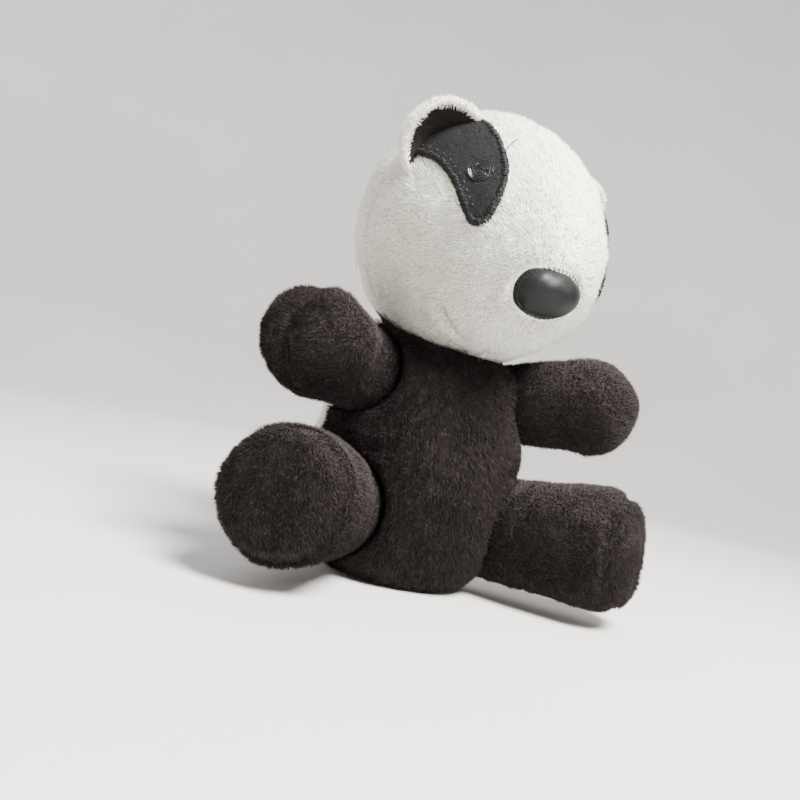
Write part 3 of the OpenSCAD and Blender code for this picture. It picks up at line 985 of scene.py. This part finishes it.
def make_legs():
    root, foot, start = LEG_ROOT_R - PILE_DEPTH, FOOT_R - PILE_DEPTH, LEG_L - FOOT_CAP
    profile = limb_profile(root, foot, start)
    profile += [(foot * math.sqrt(math.sin(a)), start + (FOOT_CAP - PILE_DEPTH) * math.cos(a) ** 0.9)
                for a in np.linspace(math.pi / 2, 0, 60)]
    profile[0], profile[-1] = (0, -root), (0, LEG_L - PILE_DEPTH)
    profile = evenly(profile)
    around = 180
    base, faces = lathe(profile, around)
    base = base @ turn("X", 90).T
    sole_ring = max(i for i, (r, t) in enumerate(profile) if t > start and r > SOLE_R - 0.4) - 1
    for side, sign in SIDES.items():
        points = base.copy()
        across = np.hypot(points[:, 0], points[:, 2])
        on_cap = np.clip((-points[:, 1] - start) / 2, 0, 1)
        end = np.clip(-points[:, 1] / start, 0, 1)
        out = unit(points * [1, 0, 1])
        uneven = (0.5 * waves(points, 13, 121 + sign) + 0.15 * waves(points, 5, 123)) * end
        groove = on_cap * bump(across - (SOLE_R - 0.4), 0.7) * (0.9 + 0.2 * waves(points, 3, 124))
        domed = on_cap * 0.35 * waves(points, 8, 125)
        points = points + out * (uneven * (1 - 0.6 * on_cap))[:, None]
        points[:, 1] += groove + domed
        points -= out * (groove * 0.4)[:, None]
        spin = aim(sign * LEG_SPREAD, LEG_LIFT[side])
        at = joint_at[f"{side}_leg_swing"]
        parts = split_rings(points, faces, around, sole_ring)
        for kind, (part_points, part_faces), nap, nodes in (
                ("leg", parts[0], limb_nap, [f"{side}_leg_tube", f"{side}_leg_stuffing"]),
                ("sole", parts[1], sole_nap, [f"{side}_sole_panel"])):
            skin = mesh_piece(f"{side}_{kind}_skin", part_points, part_faces)
            fur = pile(f"{side}_{kind}_pile", skin, *LIMB_PILE, nap, away_from_root(4.5), 126)
            for piece in (skin, fur):
                place(piece, spin, at)
            dress(skin, [black_plush[0]], "black_plush", f"{side}_leg", *nodes)
            dress(fur, black_plush[1], "black_plush", f"{side}_leg")


# ---- key ring ----

LOOP_SPIN = turn("Z", HEAD_TURN)
LOOP_Z = HEAD_R * math.sin(math.radians(LOOP_TILT))


def make_tape():
    """Woven tape folded over the ring: its ribs are part of the mesh."""
    middle = LOOP_R + TAPE_T / 2
    leg_l, rib_h = 6.5, 0.07
    straight = [(-y, -middle) for y in np.linspace(leg_l, 0.2, 24)]
    bend = [(middle * math.sin(a), -middle * math.cos(a)) for a in np.linspace(0, math.pi, 26)]
    back = [(-y, middle) for y in np.linspace(0.2, leg_l, 24)]
    path = evenly([*straight, *bend, *back], 0.22)
    along = unit(np.gradient(path, axis=0))
    out = np.stack([along[:, 1], -along[:, 0]], 1)
    wide = np.linspace(-0.5, 0.5, 23) * (TAPE_W - 0.1)
    points = []
    for i, (p, o) in enumerate(zip(path, out)):
        for face in (1, -1):
            for j, x in enumerate(wide[:: face]):
                edge = 1 - 0.5 * bump(abs(x) - TAPE_W / 2, 0.25)
                rib = rib_h * (1 if (i + j) % 2 else -1)
                thick = face * (TAPE_T / 2 * edge - rib_h + rib)
                points.append((x, p[0] + o[0] * thick, p[1] + o[1] * thick))
    faces = bar_faces(len(path), 2 * len(wide))
    tape = mesh_piece("tape_weave", np.array(points) + [0, RING_OUT, LOOP_Z], faces)
    face_outwards(tape)
    place(tape, LOOP_SPIN, HEAD_AT)
    dress(tape, [tape_thread], "woven_tape", "head", "tape_loop")


def make_ring():
    """Two turns of flattened spring wire, stepped over once where its ends lie."""
    turns, steps = 2, 400
    a = np.linspace(0, 2 * math.pi * turns, steps)
    wire_w, wire_t = RING_W, RING_T / 2 - 0.06
    lap = np.clip((a - math.pi * 1.85) / (math.pi * 0.3), 0, 1)
    level = (lap * lap * (3 - 2 * lap) - 0.5) * (RING_T / 2)
    bevel = 0.3
    section = [(s * (wire_w / 2 - c), t * (wire_t / 2 - d)) for s, t, c, d in (
        (-1, -1, 0, bevel), (-1, -1, bevel, 0), (1, -1, bevel, 0), (1, -1, 0, bevel),
        (1, 1, 0, bevel), (1, 1, bevel, 0), (-1, 1, bevel, 0), (-1, 1, 0, bevel))]
    middle = RING_HOLE_R + RING_W / 2
    points = [((middle + r) * math.sin(t), up + level[i], (middle + r) * math.cos(t))
              for i, t in enumerate(a + math.pi * 1.1) for r, up in section]
    faces = bar_faces(steps, len(section))
    ring = mesh_piece("ring_coil", np.array(points) + [0, RING_OUT, LOOP_Z - middle], faces, smooth=False)
    face_outwards(ring)
    place(ring, LOOP_SPIN, HEAD_AT)
    dress(ring, [steel], "ring_steel", "ring", "split_ring")


# ---- studio ----

CAMERA_DIR = (-24.2, -0.8)  # azimuth and elevation of the camera from the toy
CAMERA_AWAY, CAMERA_ROLL, CAMERA_LENS = 180.7, 12, 39.3
AIM_HEIGHT, AIM_SIDE = 35.5, -5.4


def camera_axes():
    away = pointing(*CAMERA_DIR)
    azimuth = math.radians(CAMERA_DIR[0])
    right = np.array([math.cos(azimuth), math.sin(azimuth), 0])
    up = np.cross(away, right)
    c, s = math.cos(math.radians(CAMERA_ROLL)), math.sin(math.radians(CAMERA_ROLL))
    return right, right * c + up * s, up * c - right * s, away


def make_camera():
    right, x, y, away = camera_axes()
    target = np.array([0, 0, AIM_HEIGHT]) + right * AIM_SIDE
    camera = bpy.data.objects.new("camera", bpy.data.cameras.new("camera"))
    bpy.context.scene.collection.objects.link(camera)
    camera.data.sensor_width, camera.data.lens = 36, CAMERA_LENS
    camera.data.clip_start = 0.01
    camera.matrix_world = (Matrix.Translation(Vector((target + away * CAMERA_AWAY) * MM))
                           @ Matrix(np.stack([x, y, away], 1)).to_4x4())
    bpy.context.scene.camera = camera


def area_light(name, towards, distance, size, power, colour):
    light = bpy.data.lights.new(name, "AREA")
    light.shape, light.size, light.energy, light.color = "DISK", size, power, colour
    lamp = bpy.data.objects.new(name, light)
    bpy.context.scene.collection.objects.link(lamp)
    way = Vector(unit(np.asarray(towards, float)))
    lamp.location = Vector((0, 0, 0.04)) + way * distance
    lamp.rotation_euler = way.to_track_quat("Z", "Y").to_euler()


def make_studio():
    """A pale floor that curves up all round, three soft lights and a plain sky."""
    reach, curve, top, floor_z = 450, 260, 620, -0.2
    profile = [(r, floor_z) for r in (0, 60, 150, reach)]
    profile += [(reach + curve * math.sin(a), curve * (1 - math.cos(a)))
                for a in np.linspace(0.05, math.pi / 2, 16)]
    profile += [(reach + curve, top)]
    points, faces = lathe([*profile, (0, top)], 96)
    keep = [f for f in faces if len(points) - 1 not in f]
    floor = mesh_piece("floor", points, keep)
    place(floor, np.eye(3), (0, 0, 0))
    material, bsdf = shader("pale_floor", 0.9)
    cloudy = grain(material, 120, detail=2)
    tone = ramp(material, cloudy, [(0.3, (0.60, 0.585, 0.565)), (0.7, (0.64, 0.625, 0.605))])
    material.node_tree.links.new(tone, bsdf.inputs["Base Color"])
    floor.data.materials.append(material)
    _, x, y, away = camera_axes()
    area_light("key", 0.6 * x + 0.8 * y + 0.55 * away, 0.45, 0.2, 13.0, (1, 0.985, 0.96))
    area_light("fill", -0.9 * x + 0.35 * y + 0.8 * away, 0.5, 0.4, 0.3, (1, 0.95, 0.92))
    area_light("back", [0.3, 1, 0.8], 0.5, 0.4, 1.6, (1, 1, 1))
    world = bpy.data.worlds.new("studio")
    bpy.context.scene.world = world
    world.use_nodes = True
    world.node_tree.nodes["Background"].inputs["Color"].default_value = (0.93, 0.95, 1, 1)
    world.node_tree.nodes["Background"].inputs["Strength"].default_value = 0.6


make_camera()
make_studio()
make_head()
make_patches()
make_nose()
make_mouth()
make_ears()
make_body()
make_arms()
make_legs()
make_tape()
make_ring()
